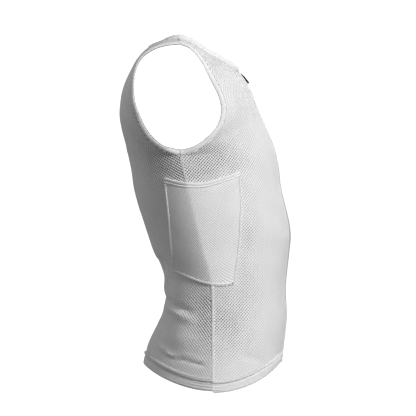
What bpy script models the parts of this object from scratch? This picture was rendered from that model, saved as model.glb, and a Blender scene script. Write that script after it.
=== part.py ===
"""Sleeveless zip-front cooling vest of open mesh, in the hollow shape it has when worn.

Metres, +Z up. The front faces -Y and the wearer's right side is at -X. The origin lies in the middle of
the neck opening, level with the top of its binding at the shoulder seams.

Below the armpits the cloth follows level sections. Above them the sections fan out about the straight
line through both armpits, from level at the front, over the shoulder seams, to level at the back.
"""

import math
from collections import namedtuple

import bmesh
import bpy
from mathutils import Vector

# Every size below is in millimetres, and MM turns it into metres.
MM = 0.001

CLOTH = 1.5  # wall of a mesh panel
SEAM_GAP = 0.3  # between two pieces that are sewn together
AXIS_Y = -6.0  # the line through the armpits
AXIS_Z = -213.0
WIDTH_POWER = 3.0  # how square a section is across
DEPTH_POWER = 1.4  # and from front to back, low so that the side seams stand out as ridges

HEM_SEAM_Z = -562.0  # lower edge of the panels at the middle of front and back
DIP_FROM_Z = -430.0  # from here down the cloth dips toward the side seams
# How much lower that edge lies at the side seams, and how the dip fades toward the middle.
Dip = namedtuple("Dip", "depth starts ends")
FRONT_DIP = Dip(52.6, 2.0, 1.0)
BACK_DIP = Dip(46.6, 1.8, 0.9)

NECK_HALF_WIDTH = 80.0
FRONT_NECK_ANGLE = 54.0  # where the neckline crosses the middle, up from level, in degrees
BACK_NECK_ANGLE = 72.8

ARMPIT_ANGLE = 15.0  # up to here the armhole edge turns from facing sideways to its own way
ZIP_HALF = 7.0  # from the middle to the front panels' edges
COLUMNS = 12  # from the middle of a panel to its side
NECK_ROWS = 7
FAN_ROWS = 9
BODY_ROWS = 15

# One row for each level section: its height, its half width, and where its front, side seam and back are.
Level = namedtuple("Level", "z half_width front seam back")
LEVELS = (
    Level(-213, 170.0, -175.2, -6.0, 87.5),
    Level(-240, 169.0, -179.7, -12.0, 81.8),
    Level(-271, 167.0, -183.0, -20.0, 77.4),
    Level(-300, 164.0, -189.2, -26.5, 70.2),
    Level(-330, 160.0, -195.8, -33.0, 60.4),
    Level(-357, 156.0, -198.8, -40.0, 51.6),
    Level(-385, 153.0, -196.6, -47.5, 42.0),
    Level(-412, 151.0, -194.2, -56.0, 29.0),
    Level(-440, 149.5, -191.8, -62.0, 19.6),
    Level(-466, 149.0, -191.8, -63.5, 17.8),
    Level(-495, 152.0, -193.8, -63.5, 23.8),
    Level(-527, 157.0, -191.4, -63.5, 41.0),
    Level(-552, 162.0, -188.4, -63.5, 52.5),
    Level(-585, 166.0, -184.6, -63.5, 59.4),
)

# One row for each fanned section: its angle up from level, how far it reaches from the armpit line at the
# middle, and where the armhole seam cuts it: half width there, and distance from the armpit line.
Fan = namedtuple("Fan", "angle reach seam_x seam_reach")
FRONT_FAN = (
    Fan(0, 169.2, 170.0, 0.0),
    Fan(12, 161.5, 169.0, 27.5),
    Fan(23, 158.6, 167.0, 54.5),
    Fan(32, 160.5, 163.0, 85.0),
    Fan(43, 169.5, 157.0, 111.5),
    Fan(53, 177.6, 151.5, 129.0),
    Fan(66, 183.3, 143.5, 150.0),
    Fan(76, 189.5, 136.0, 174.5),
    Fan(84, 200.5, 131.0, 193.0),
    Fan(90, 207.5, 128.0, 201.0),
)
BACK_FAN = (
    Fan(0, 93.5, 170.0, 0.0),
    Fan(12, 100.5, 169.5, 28.5),
    Fan(23, 113.5, 168.0, 57.0),
    Fan(33, 129.5, 164.0, 84.0),
    Fan(41, 142.0, 160.0, 107.0),
    Fan(47, 152.8, 156.5, 128.5),
    Fan(54, 164.8, 151.0, 150.5),
    Fan(60, 175.5, 146.0, 169.0),
    Fan(66, 188.0, 141.0, 184.5),
    Fan(73, 199.0, 136.0, 194.5),
    Fan(81, 205.0, 131.0, 199.5),
    Fan(90, 207.5, 128.0, 201.0),
)

# The largest folds, seen from the side: where each starts and ends, how far it lifts the cloth, and its
# half width. side is -1 on the wearer's right and 1 on the left.
Fold = namedtuple("Fold", "side y_from z_from y_to z_to lift half_width")
FOLDS = (
    Fold(-1, 22, -463, -36, -483, -3.0, 9),
    Fold(-1, 20, -483, -30, -503, 2.6, 10),
    Fold(-1, 34, -546, -14, -569, 2.2, 9),
    Fold(-1, 34, -397, 14, -419, -1.8, 9),
    Fold(-1, -120, -562, -150, -569, -1.6, 9),
    Fold(1, 20, -451, -30, -475, -2.8, 10),
    Fold(1, 24, -473, -24, -491, 2.4, 10),
    Fold(1, 36, -538, -8, -564, 2.4, 10),
    Fold(1, 32, -394, 13, -416, -2.0, 9),
    Fold(1, -112, -554, -146, -566, -1.8, 9),
)

BINDING_WIDTH = 8.8
ARMHOLE_LEAN = 0.4  # how much of the cloth's sideways slope the armhole bindings keep
NECK_BINDING_WIDTH = 11.0
# How steeply the neck binding stands up off the cloth, from front to back.
Stand = namedtuple("Stand", "y slope")
NECK_STANDS = (
    Stand(-120, 1.3),
    Stand(-20, 1.3),
    Stand(8, 0.95),
    Stand(21, 0.5),
    Stand(35, 0.12),
    Stand(60, 0.12),
)
HEM_BACK_HEIGHT = 23.0
HEM_FRONT_HEIGHT = 20.0

# Outlines of the trims, across their width and up from the panel's outer face.
Edge = namedtuple("Edge", "across up")


def binding_outline(width):
    """A folded strip, a little thicker than the panel that it edges."""
    return (
        Edge(SEAM_GAP, -2.1),
        Edge(SEAM_GAP, 0.5),
        Edge(1.6, 0.9),
        Edge(width - 1.4, 0.9),
        Edge(width, 0.1),
        Edge(width, -1.5),
        Edge(width - 1.4, -2.3),
        Edge(1.6, -2.3),
    )


def hem_outline(height):
    """A turned hem with the raised line of its stitching at the top."""
    return (
        Edge(SEAM_GAP, -2.0),
        Edge(SEAM_GAP, 0.7),
        Edge(1.6, 1.5),
        Edge(3.4, 1.2),
        Edge(5.0, 0.4),
        Edge(height - 1.5, 0.7),
        Edge(height, -0.1),
        Edge(height, -1.4),
        Edge(height - 1.5, -2.2),
    )


# The zip stands a little proud of the panels, most where the front is fullest.
Rise = namedtuple("Rise", "z up")
ZIP_RISE = (
    Rise(-50, -0.8),
    Rise(-213, 1.4),
    Rise(-290, 2.2),
    Rise(-357, 3.4),
    Rise(-430, 2.2),
    Rise(-480, 1.6),
    Rise(-590, 1.2),
)
TAPE_INNER = 1.7  # from the middle to the tape's inner edge
TAPE_THICK = 1.2
TEETH_HALF = 1.4
TEETH_THICK = 2.4

POCKET_GAP = 1.0  # the pocket's cloth lies this far from the panel
POCKET_CLOTH = 1.2
POCKET_COLUMNS = 13
RIDGE_COLUMN = 5  # the column that lies on the side seam
POCKET_ROWS = 10
POCKET_BINDING = 9.5
POCKET_BINDING_THICK = 2.4
# The pocket's sides, seen from the side, from its top edge down.
PocketSide = namedtuple("PocketSide", "down back_y front_y")
POCKET_SIDES = (
    PocketSide(0.0, 21.6, -112.2),
    PocketSide(0.3, 16.5, -113.8),
    PocketSide(0.65, 11.5, -110.2),
    PocketSide(1.0, 6.4, -102.1),
)
# Its top and bottom edges, from its back edge to its front edge.
PocketEdge = namedtuple("PocketEdge", "along top_z bottom_z")
POCKET_EDGES = (
    PocketEdge(0.0, -261.7, -417.7),
    PocketEdge(0.25, -269.8, -430.4),
    PocketEdge(0.5, -270.8, -440.5),
    PocketEdge(0.75, -262.7, -443.6),
    PocketEdge(1.0, -251.0, -441.5),
)

# The slider sits at the top of the zip. Its sizes run along the zip, across it, and out from it.
SLIDER_DOWN = 3.8  # from the front neck seam to the slider's middle
SLIDER_LONG, SLIDER_WIDE, SLIDER_THICK = 9.5, 8.4, 1.1
SLIDER_NOSE = 0.62  # width of its lower end, as a share
SLIDER_LIFT = 0.4  # clear of the tapes
BAIL_LONG, BAIL_WIDE, BAIL_HIGH, BAIL_WALL = 5.0, 1.6, 2.5, 0.7
PIN_UP = 0.85  # the pull tab's pin, above the slider
TAB_WIDE = 6.8
TAB_ROUND = 0.5  # its long edges are cut off by this much of its width
TAB_FLAT_SIDE = 0.85  # and its sides keep this share of its thickness
TAB_WINDOW_LONG, TAB_WINDOW_WIDE = 4.6, 3.0
TAB_LEAN = 38.5  # the tab's slope out from straight down, in degrees, where it rests
# The tab's side: how far under and above its pin's line its two faces are, along it from the pin.
TabSide = namedtuple("TabSide", "along under above")
TAB_SIDES = (
    TabSide(-0.8, 0.35, 0.35),
    TabSide(-0.45, 0.6, 0.6),
    TabSide(0.65, 0.6, 0.6),
    TabSide(1.2, 0.6, 1.5),
    TabSide(4.6, 0.65, 2.2),
    TabSide(5.8, 1.1, 2.5),
    TabSide(19.2, 1.1, 2.5),
    TabSide(20.3, 0.9, 2.1),
    TabSide(20.7, 0.4, 1.4),
)

COLOURS = {
    "mesh": ((0.82, 0.83, 0.84), 0.85),
    "trim": ((0.88, 0.88, 0.89), 0.75),
    "pocket": ((0.80, 0.81, 0.82), 0.8),
    "zip": ((0.72, 0.72, 0.73), 0.6),
    "tab": ((0.02, 0.02, 0.022), 0.45),
}


def smooth(table, at, column):
    """The column's value at a place in the table, on a smooth curve through its rows."""
    places = [row[0] for row in table]
    values = [getattr(row, column) for row in table]
    if places[0] > places[-1]:  # a table that runs downward
        places.reverse()
        values.reverse()
    at = min(max(at, places[0]), places[-1])
    last = len(places) - 2
    i = next((k for k in range(last) if at <= places[k + 1]), last)
    slopes = []
    for k in (i, i + 1):
        low, high = max(k - 1, 0), min(k + 1, len(places) - 1)
        slopes.append((values[high] - values[low]) / (places[high] - places[low]))
    span = places[i + 1] - places[i]
    t = (at - places[i]) / span
    return (
        (2 * t**3 - 3 * t**2 + 1) * values[i]
        + (t**3 - 2 * t**2 + t) * span * slopes[0]
        + (3 * t**2 - 2 * t**3) * values[i + 1]
        + (t**3 - t**2) * span * slopes[1]
    )


def ease(t):
    t = min(max(t, 0.0), 1.0)
    return t * t * (3 - 2 * t)


def fan_point(front, angle, turn):
    """A point of the upper body, turn going from 0 at the middle to a right angle at the armhole seam."""
    table = FRONT_FAN if front else BACK_FAN
    reach = smooth(table, angle, "reach")
    seam_x = smooth(table, angle, "seam_x")
    fullness = 1 - (max(smooth(table, angle, "seam_reach"), 0) / reach) ** DEPTH_POWER
    x = seam_x * math.sin(turn) ** (2 / WIDTH_POWER)
    r = reach * max(1 - fullness * math.sin(turn) ** 2, 0) ** (1 / DEPTH_POWER)
    up = math.radians(angle)
    away = -1 if front else 1
    return Vector((x, AXIS_Y + away * r * math.cos(up), AXIS_Z + r * math.sin(up)))


def body_point(front, z, turn):
    """A point of the body below the armpits, turn going from 0 at the middle to a right angle at the side."""
    seam = smooth(LEVELS, z, "seam")
    depth = smooth(LEVELS, z, "front" if front else "back") - seam
    share = max(math.cos(turn), 0) ** (2 / DEPTH_POWER)
    x = smooth(LEVELS, z, "half_width") * math.sin(turn) ** (2 / WIDTH_POWER)
    sag = ease((DIP_FROM_Z - z) / (DIP_FROM_Z - HEM_SEAM_Z))
    dip = FRONT_DIP if front else BACK_DIP
    drop = dip.depth * sag * (1 - share**dip.starts) ** dip.ends
    return Vector((x, seam + depth * share, z - drop))


def panel_point(front, row, turn):
    """row is an angle above the armpits, and a distance below them as a negative number."""
    return fan_point(front, row, turn) if row >= 0 else body_point(front, AXIS_Z + row, turn)


def outward(front, row, turn):
    """The way out of the cloth at a point of the half with positive x."""
    step = 0.02
    low = min(max(turn - step, 0.002), math.pi / 2 - 2 * step)
    across = panel_point(front, row, low + 2 * step) - panel_point(front, row, low)
    top = min(row + 0.5, 90.0)
    down = panel_point(front, top - 1.0, turn) - panel_point(front, top, turn)
    normal = down.cross(across) if front else across.cross(down)
    if turn < step:
        normal.x = 0
    if turn > math.pi / 2 - step:
        if row <= 0:
            normal = Vector((1, 0, normal.z / max(abs(normal.x), 1)))
        else:
            normal = Vector((1, 0, 0)).lerp(normal.normalized(), ease(row / ARMPIT_ANGLE))
    if row > 89.9:
        normal.y = 0
    return normal.normalized()


def fold_lift(point, side):
    """How far the folds move the cloth out at a point."""
    lift = 0.0
    for fold in FOLDS:
        if fold.side != side:
            continue
        run_y, run_z = fold.y_to - fold.y_from, fold.z_to - fold.z_from
        length = math.hypot(run_y, run_z)
        to_y, to_z = point.y - fold.y_from, point.z - fold.z_from
        along = (to_y * run_y + to_z * run_z) / length**2
        aside = (to_y * run_z - to_z * run_y) / length
        ends = ease(along / 0.35 + 0.5) * ease((1 - along) / 0.35 + 0.5)
        lift += fold.lift * ends * math.exp(-((aside / fold.half_width) ** 2))
    return lift


def cloth_point(front, row, turn, side):
    """The cloth's outer face and its way out, on the wearer's right (-1) or left (1)."""
    point, normal = panel_point(front, row, turn), outward(front, row, turn)
    if row < 0:
        point = point + normal * fold_lift(point, side)
    point.x *= side
    normal.x *= side
    return point, normal


def turn_at(front, row, x):
    """The turn at which a section is x wide."""
    if row >= 0:
        wide = smooth(FRONT_FAN if front else BACK_FAN, row, "seam_x")
    else:
        wide = smooth(LEVELS, AXIS_Z + row, "half_width")
    return math.asin(min(x / wide, 1.0) ** (WIDTH_POWER / 2))


def panel_rows(front):
    """(row, x of the panel's inner edge there) from the shoulder seam down to the hem seam."""
    neck_angle = FRONT_NECK_ANGLE if front else BACK_NECK_ANGLE
    inner = ZIP_HALF if front else 0.0
    start = math.asin(inner / NECK_HALF_WIDTH)
    rows = []
    for i in range(NECK_ROWS):
        swing = math.pi / 2 + (start - math.pi / 2) * i / NECK_ROWS
        row = 90 - (90 - neck_angle) * math.cos(swing)
        rows.append((row, NECK_HALF_WIDTH * math.sin(swing)))
    neck_row = 90 - (90 - neck_angle) * math.cos(start)
    rows += [(neck_row * (1 - i / FAN_ROWS), inner) for i in range(FAN_ROWS)]
    drop = HEM_SEAM_Z - AXIS_Z
    rows.append((0.0, inner))
    rows += [(drop * i / BODY_ROWS, inner) for i in range(1, BODY_ROWS + 1)]
    return rows


def half_panel(front, side):
    """A grid of (outer point, way out), rows from the shoulder down, columns from the middle to the side."""
    grid = []
    for row, x_inner in panel_rows(front):
        begin = turn_at(front, row, x_inner)
        line = []
        for j in range(COLUMNS + 1):
            turn = begin + (math.pi / 2 - begin) * j / COLUMNS
            point, normal = cloth_point(front, row, turn, side)
            meets_seam = row > 89.9 or (row <= 0 and j == COLUMNS)
            if meets_seam:
                point = point + Vector((0, -SEAM_GAP / 2 if front else SEAM_GAP / 2, 0))
            line.append((point, normal))
        grid.append(line)
    return grid


def grid_cells(grid, key=lambda i, j: (i, j)):
    """The points of a grid by name, and its four-sided cells."""
    points = {key(i, j): grid[i][j] for i in range(len(grid)) for j in range(len(grid[0]))}
    cells = []
    for i in range(len(grid) - 1):
        for j in range(len(grid[0]) - 1):
            cells.append([key(i, j), key(i + 1, j), key(i + 1, j + 1), key(i, j + 1)])
    return points, cells


def wall(name, points, cells, out_from, out_to, material):
    """A closed wall on named points (point, way out), between two distances out from them."""
    bm = bmesh.new()
    outer = {k: bm.verts.new((p + n * out_to) * MM) for k, (p, n) in points.items()}
    inner = {k: bm.verts.new((p + n * out_from) * MM) for k, (p, n) in points.items()}
    edges = set()
    for cell in cells:
        bm.faces.new([outer[k] for k in cell])
        bm.faces.new([inner[k] for k in reversed(cell)])
        edges.update(zip(cell, cell[1:] + cell[:1]))
    for a, b in sorted(edges):
        if (b, a) not in edges:
            bm.faces.new([outer[b], outer[a], inner[a], inner[b]])
    return add_object(name, bm, material)


def sweep(name, frames, outlines, material, closed=False):
    """A solid with an outline across each frame of (point, way across, way out)."""
    bm = bmesh.new()
    rings = []
    for (point, across, out), outline in zip(frames, outlines):
        rings.append([bm.verts.new((point + across * e.across + out * e.up) * MM) for e in outline])
    pairs = list(zip(rings, rings[1:]))
    if closed:
        pairs.append((rings[-1], rings[0]))
    for ring, after in pairs:
        for k in range(len(ring)):
            n = (k + 1) % len(ring)
            bm.faces.new([ring[k], ring[n], after[n], after[k]])
    if not closed:
        bm.faces.new(rings[0][::-1])
        bm.faces.new(rings[-1])
    return add_object(name, bm, material)


def add_object(name, bm, material):
    """An object of a closed mesh, its faces turned out and its round stretches shaded smooth."""
    bmesh.ops.recalc_face_normals(bm, faces=bm.faces)
    if bm.calc_volume(signed=True) < 0:
        bmesh.ops.reverse_faces(bm, faces=bm.faces)
    mesh = bpy.data.meshes.new(name)
    bm.to_mesh(mesh)
    bm.free()
    mesh.shade_smooth()
    mesh.set_sharp_from_angle(angle=math.radians(35))
    mesh.materials.append(material)
    made = bpy.data.objects.new(name, mesh)
    bpy.context.scene.collection.objects.link(made)
    return made


def edge_frames(line, toward, closed=False):
    """Frames along a seam line of (point, way out), each with its way across the seam, toward a point."""
    frames = []
    count = len(line)
    for i, (point, out) in enumerate(line):
        before = line[i - 1][0] if i or closed else point
        after = line[(i + 1) % count][0] if i < count - 1 or closed else point
        across = out.cross(after - before).normalized()
        if across.dot(toward - point) < 0:
            across = -across
        frames.append((point, across, out))
    return frames


def facing_sideways(point, across, out):
    """The frame turned about its seam line so that its strip faces more to the side, clear of the panel."""
    along = across.cross(out)
    turned = Vector((across.x * ARMHOLE_LEAN, across.y, across.z))
    turned = (turned - along * turned.dot(along)).normalized()
    clear = turned * (2.1 * abs(turned.dot(out)))
    return point + clear, turned, along.cross(turned).normalized()


def middle(a, b):
    """The frame halfway between the ends of two seam lines that meet."""
    return (a[0] + b[0]) / 2, (a[1] + b[1]).normalized()


def armhole_line(front_grid, back_grid):
    """Round the armhole seam: up the front from the armpit, over the shoulder and down the back."""
    upper = NECK_ROWS + FAN_ROWS
    front = [line[-1] for line in front_grid[upper::-1]]
    back = [line[-1] for line in back_grid[: upper + 1]]
    return [middle(front[0], back[-1])] + front[1:-1] + [middle(front[-1], back[0])] + back[1:-1]


def neck_line(grids):
    """Along the neck seam from the zip on the right, round the back, to the zip on the left."""
    sides = []
    for side in (-1, 1):
        front = [line[0] for line in grids[True, side][NECK_ROWS::-1]]
        back = [line[0] for line in grids[False, side][: NECK_ROWS + 1]]
        sides.append(front[:-1] + [middle(front[-1], back[0])] + back[1:])
    right, left = sides
    return right + left[-2::-1]


def side_point(y, z, side):
    """The cloth's outer face where it is seen at a place from the side, between armpit and waist."""
    seam = smooth(LEVELS, z, "seam")
    front = y < seam
    depth = smooth(LEVELS, z, "front" if front else "back") - seam
    share = min(max((y - seam) / depth, 0.0), 1.0)
    return cloth_point(front, z - AXIS_Z, math.acos(share ** (DEPTH_POWER / 2)), side)


def pocket_place(along, down, above):
    """(y, z) of a place on the pocket, from its back edge forward and from its top edge down."""
    top = smooth(POCKET_EDGES, along, "top_z")
    bottom = smooth(POCKET_EDGES, along, "bottom_z")
    back_y = smooth(POCKET_SIDES, down, "back_y")
    front_y = smooth(POCKET_SIDES, down, "front_y")
    return back_y + (front_y - back_y) * along, top + above + (bottom - top) * down


def ridge_along(down, above):
    """How far along the pocket the side seam's ridge passes under it."""
    low, high = 0.0, 1.0
    for _ in range(20):
        along = (low + high) / 2
        y, z = pocket_place(along, down, above)
        if y > smooth(LEVELS, z, "seam"):
            low = along
        else:
            high = along
    return along


def pocket_grid(side, binding):
    """The pocket's cloth, or the binding along its top edge, on the panels' points."""
    grid = []
    rows = 1 if binding else POCKET_ROWS
    for i in range(rows + 1):
        line = []
        down = 0.0 if binding else i / rows
        above = (1 - i) * POCKET_BINDING if binding else -SEAM_GAP
        ridge = ridge_along(down, above)
        for j in range(POCKET_COLUMNS + 1):
            if j <= RIDGE_COLUMN:
                along = ridge * j / RIDGE_COLUMN
            else:
                along = ridge + (1 - ridge) * (j - RIDGE_COLUMN) / (POCKET_COLUMNS - RIDGE_COLUMN)
            line.append(side_point(*pocket_place(along, down, above), side))
        grid.append(line)
    return grid


def zip_path():
    """(middle of the front panels' outer face, way out) from the top of the neck binding to the hem."""
    rows = [row for row, _ in panel_rows(True)[NECK_ROWS:]]
    path = [cloth_point(True, row, 0.0, 1) for row in rows]
    ends = []
    for k, after, reach in ((0, 1, NECK_BINDING_WIDTH), (-1, -2, HEM_FRONT_HEIGHT)):
        point, out = path[k]
        ends.append((point + (point - path[after][0]).normalized() * reach, out))
    return [ends[0]] + path + [ends[1]]


def zip_parts(materials):
    path = zip_path()
    across = Vector((1, 0, 0))
    for side, name in ((-1, "zip_tape_right"), (1, "zip_tape_left")):
        frames = [(point, across * side, out) for point, out in path]
        outlines = []
        for point, _ in path:
            up = smooth(ZIP_RISE, point.z, "up")
            outlines.append(
                (
                    Edge(TAPE_INNER, up - TAPE_THICK),
                    Edge(TAPE_INNER, up),
                    Edge(ZIP_HALF - SEAM_GAP, 0.0),
                    Edge(ZIP_HALF - SEAM_GAP, -TAPE_THICK),
                )
            )
        sweep(name, frames, outlines, materials["zip"])
    teeth = [entry for entry in path if entry[0].z < path[1][0].z - SLIDER_DOWN - SLIDER_LONG / 2]
    outlines = []
    for point, _ in teeth:
        top = smooth(ZIP_RISE, point.z, "up") + 0.5
        low = top - TEETH_THICK
        outlines.append(
            (
                Edge(-TEETH_HALF, low),
                Edge(-TEETH_HALF, top - 0.6),
                Edge(-TEETH_HALF / 2, top),
                Edge(TEETH_HALF / 2, top),
                Edge(TEETH_HALF, top - 0.6),
                Edge(TEETH_HALF, low),
            )
        )
    sweep("zip_teeth", [(p, across, n) for p, n in teeth], outlines, materials["zip"])


def box(bm, centre, along, across, out, sizes, nose=1.0):
    """A block on its own three ways, its lower end narrowed to a share of its width."""
    corners = []
    for a in (-1, 1):
        wide = nose if a > 0 else 1.0
        for b, c in ((-1, -1), (1, -1), (1, 1), (-1, 1)):
            offset = along * (a * sizes[0]) + across * (b * wide * sizes[1]) + out * (c * sizes[2])
            corners.append(bm.verts.new((centre + offset / 2) * MM))
    for face in ((3, 2, 1, 0), (4, 5, 6, 7), (0, 1, 5, 4), (1, 2, 6, 5), (2, 3, 7, 6), (3, 0, 4, 7)):
        bm.faces.new([corners[k] for k in face])


def hide(cutter):
    cutter.hide_render = True
    cutter.display_type = "WIRE"
    return cutter


def combine(target, other, operation):
    modifier = target.modifiers.new(other.name, "BOOLEAN")
    modifier.operation = operation
    modifier.object = hide(other)


def solid_box(name, centre, ways, sizes, material, nose=1.0):
    bm = bmesh.new()
    box(bm, centre, *ways, sizes, nose)
    return add_object(name, bm, material)


def soften(target, width):
    modifier = target.modifiers.new("soft edges", "BEVEL")
    modifier.width = width * MM
    modifier.segments = 2


def slider_and_tab(materials):
    """The slider with its bail, and the pull tab whose pin turns under the bail."""
    top, out = zip_path()[1]
    below = zip_path()[2][0]
    along = (below - top).normalized()
    out = Vector((0, out.y, out.z)).normalized()
    out = (out - along * out.dot(along)).normalized()
    across = Vector((1, 0, 0))
    rise = smooth(ZIP_RISE, top.z, "up") + SLIDER_LIFT
    base = top + along * SLIDER_DOWN + out * rise
    ways = (along, across, out)
    slider = solid_box(
        "zip_slider",
        base + out * (SLIDER_THICK / 2),
        ways,
        (SLIDER_LONG, SLIDER_WIDE, SLIDER_THICK),
        materials["tab"],
        SLIDER_NOSE,
    )
    soften(slider, 0.6)
    bail_at = base + out * (SLIDER_THICK + BAIL_HIGH / 2 - 0.2)
    bail = solid_box("bail", bail_at, ways, (BAIL_LONG, BAIL_WIDE, BAIL_HIGH + 0.4), materials["tab"])
    eye_sizes = (BAIL_LONG - 2 * BAIL_WALL, BAIL_WIDE * 2, BAIL_HIGH - BAIL_WALL)
    eye_at = base + out * (SLIDER_THICK + eye_sizes[2] / 2 + 0.02)
    eye = solid_box("bail_eye", eye_at, ways, eye_sizes, materials["tab"])
    combine(bail, eye, "DIFFERENCE")
    combine(slider, bail, "UNION")

    pin = base + out * (SLIDER_THICK + PIN_UP)
    lean = math.radians(TAB_LEAN)
    down = Vector((0, -math.sin(lean), -math.cos(lean)))
    face = Vector((0, -math.cos(lean), math.sin(lean)))
    frames = [(down * side.along, across, face) for side in TAB_SIDES]
    outlines = []
    for side in TAB_SIDES:
        half = TAB_WIDE / 2
        outlines.append(
            (
                Edge(-half, -side.under * TAB_FLAT_SIDE),
                Edge(-half, side.above * TAB_FLAT_SIDE),
                Edge(TAB_ROUND - half, side.above),
                Edge(half - TAB_ROUND, side.above),
                Edge(half, side.above * TAB_FLAT_SIDE),
                Edge(half, -side.under * TAB_FLAT_SIDE),
                Edge(half - TAB_ROUND, -side.under),
                Edge(TAB_ROUND - half, -side.under),
            )
        )
    tab = sweep("zip_pull_tab", frames, outlines, materials["tab"])
    window_at = down * (TAB_SIDES[1].under + TAB_WINDOW_LONG / 2)
    window_sizes = (TAB_WINDOW_LONG, TAB_WINDOW_WIDE, 8 * TAB_SIDES[1].under)
    window = solid_box("tab_window", window_at, (down, across, face), window_sizes, materials["tab"])
    combine(tab, window, "DIFFERENCE")
    for piece in (tab, window):
        piece.location = pin * MM


def make_materials():
    made = {}
    for name, (colour, roughness) in COLOURS.items():
        material = bpy.data.materials.new(name)
        material.use_nodes = True
        shader = material.node_tree.nodes["Principled BSDF"]
        shader.inputs["Base Color"].default_value = (*colour, 1.0)
        shader.inputs["Roughness"].default_value = roughness
        shader.inputs["Metallic"].default_value = 0.0
        material.diffuse_color = (*colour, 1.0)
        made[name] = material
    return made


def panels(materials):
    """Two fronts, and a back whose halves meet along its middle below the neckline."""
    grids = {(front, side): half_panel(front, side) for front in (True, False) for side in (-1, 1)}
    for side, name in ((-1, "front_right"), (1, "front_left")):
        wall(name, *grid_cells(grids[True, side]), -CLOTH, 0.0, materials["mesh"])
    points, cells = {}, []
    for side in (-1, 1):

        def key(i, j):
            return (i, j * side) if j or i >= NECK_ROWS else (i, side / 2)

        half_points, half_cells = grid_cells(grids[False, side], key)
        points.update(half_points)
        cells += half_cells if side < 0 else [cell[::-1] for cell in half_cells]
    wall("back", points, cells, -CLOTH, 0.0, materials["mesh"])
    return grids


def bindings(grids, materials):
    """Strips that edge the neck and the armholes."""
    outline = binding_outline(NECK_BINDING_WIDTH)
    neck = neck_line(grids)
    frames = edge_frames(neck, Vector((0, -30, 20)))
    for end in (0, -1):
        point, across, out = frames[end]
        frames[end] = (point, Vector((0, across.y, across.z)).normalized(), out)
    for i, (point, across, out) in enumerate(frames):
        stand = smooth(NECK_STANDS, point.y, "slope") * max(out.z, 0)
        frames[i] = (point, (across + out * stand).normalized(), (out - across * stand).normalized())
    sweep("neck_binding", frames, [outline] * len(frames), materials["trim"])
    outline = binding_outline(BINDING_WIDTH)
    for side, name in ((-1, "armhole_binding_right"), (1, "armhole_binding_left")):
        line = armhole_line(grids[True, side], grids[False, side])
        frames = edge_frames(line, Vector((side * 170, 0, -110)), closed=True)
        frames = [facing_sideways(*frame) for frame in frames]
        sweep(name, frames, [outline] * len(frames), materials["trim"], closed=True)


def hem_bands(grids, materials):
    """The turned hem, one band on each front and one across the back."""
    below = Vector((0, -60, -5000))
    for side, name in ((-1, "hem_band_front_right"), (1, "hem_band_front_left")):
        frames = edge_frames(grids[True, side][-1], below)
        point, across, out = frames[0]
        frames[0] = (point, Vector((0, across.y, across.z)).normalized(), out)
        sweep(name, frames, [hem_outline(HEM_FRONT_HEIGHT)] * len(frames), materials["trim"])
    line = grids[False, -1][-1][:0:-1] + grids[False, 1][-1]
    frames = edge_frames(line, below)
    sweep("hem_band_back", frames, [hem_outline(HEM_BACK_HEIGHT)] * len(frames), materials["trim"])


def pockets(materials):
    """A patch pocket over each side seam, with a binding along its open top."""
    for side, word in ((-1, "right"), (1, "left")):
        cloth = (POCKET_GAP, POCKET_GAP + POCKET_CLOTH)
        wall("pocket_" + word, *grid_cells(pocket_grid(side, False)), *cloth, materials["pocket"])
        binding = (POCKET_GAP - 0.2, POCKET_GAP - 0.2 + POCKET_BINDING_THICK)
        cells = grid_cells(pocket_grid(side, True))
        wall("pocket_binding_" + word, *cells, *binding, materials["trim"])


def main():
    for old in list(bpy.data.objects):
        bpy.data.objects.remove(old, do_unlink=True)
    materials = make_materials()
    grids = panels(materials)
    bindings(grids, materials)
    hem_bands(grids, materials)
    pockets(materials)
    zip_parts(materials)
    slider_and_tab(materials)


main()
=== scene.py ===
"""A white mesh cooling vest with a front zip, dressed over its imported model.

Metres, +Z up, the zipped front at -Y and the wearer's right side at -X. Sizes are written in millimetres.
"""

import math
from collections import namedtuple

import bpy
import numpy as np
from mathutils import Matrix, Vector


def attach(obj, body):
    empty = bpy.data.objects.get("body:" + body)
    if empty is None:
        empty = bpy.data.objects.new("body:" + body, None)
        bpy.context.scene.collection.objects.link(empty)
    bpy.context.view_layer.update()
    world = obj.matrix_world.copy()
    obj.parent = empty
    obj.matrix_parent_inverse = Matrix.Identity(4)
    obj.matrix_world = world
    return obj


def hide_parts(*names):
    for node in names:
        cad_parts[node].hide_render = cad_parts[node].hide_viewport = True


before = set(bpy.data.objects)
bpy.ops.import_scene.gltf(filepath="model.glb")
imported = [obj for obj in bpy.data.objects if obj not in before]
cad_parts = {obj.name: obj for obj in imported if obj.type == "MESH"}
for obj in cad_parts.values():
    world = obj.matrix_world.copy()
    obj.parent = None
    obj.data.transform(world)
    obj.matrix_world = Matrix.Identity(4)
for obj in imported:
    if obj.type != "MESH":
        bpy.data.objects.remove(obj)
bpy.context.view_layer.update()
MM = 0.001


# --- Fronts ----------------------------
# Two panels of open eyelet mesh, warp-knitted from white polyester. They are cut left and right, parted
# at the middle by the zip, and hang in their worn shape: level sections below the armpits, and above
# them sections that fan out about the line through both armpits, over the shoulders.
AXIS_Y, AXIS_Z = -6.0, -213.0
WIDTH_POWER, DEPTH_POWER = 3.0, 1.4
ARMPIT_ANGLE = 15.0
HEM_SEAM_Z, DIP_FROM_Z = -562.0, -430.0
Dip = namedtuple("Dip", "depth starts ends")
FRONT_DIP, BACK_DIP = Dip(52.6, 2.0, 1.0), Dip(46.6, 1.8, 0.9)

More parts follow.
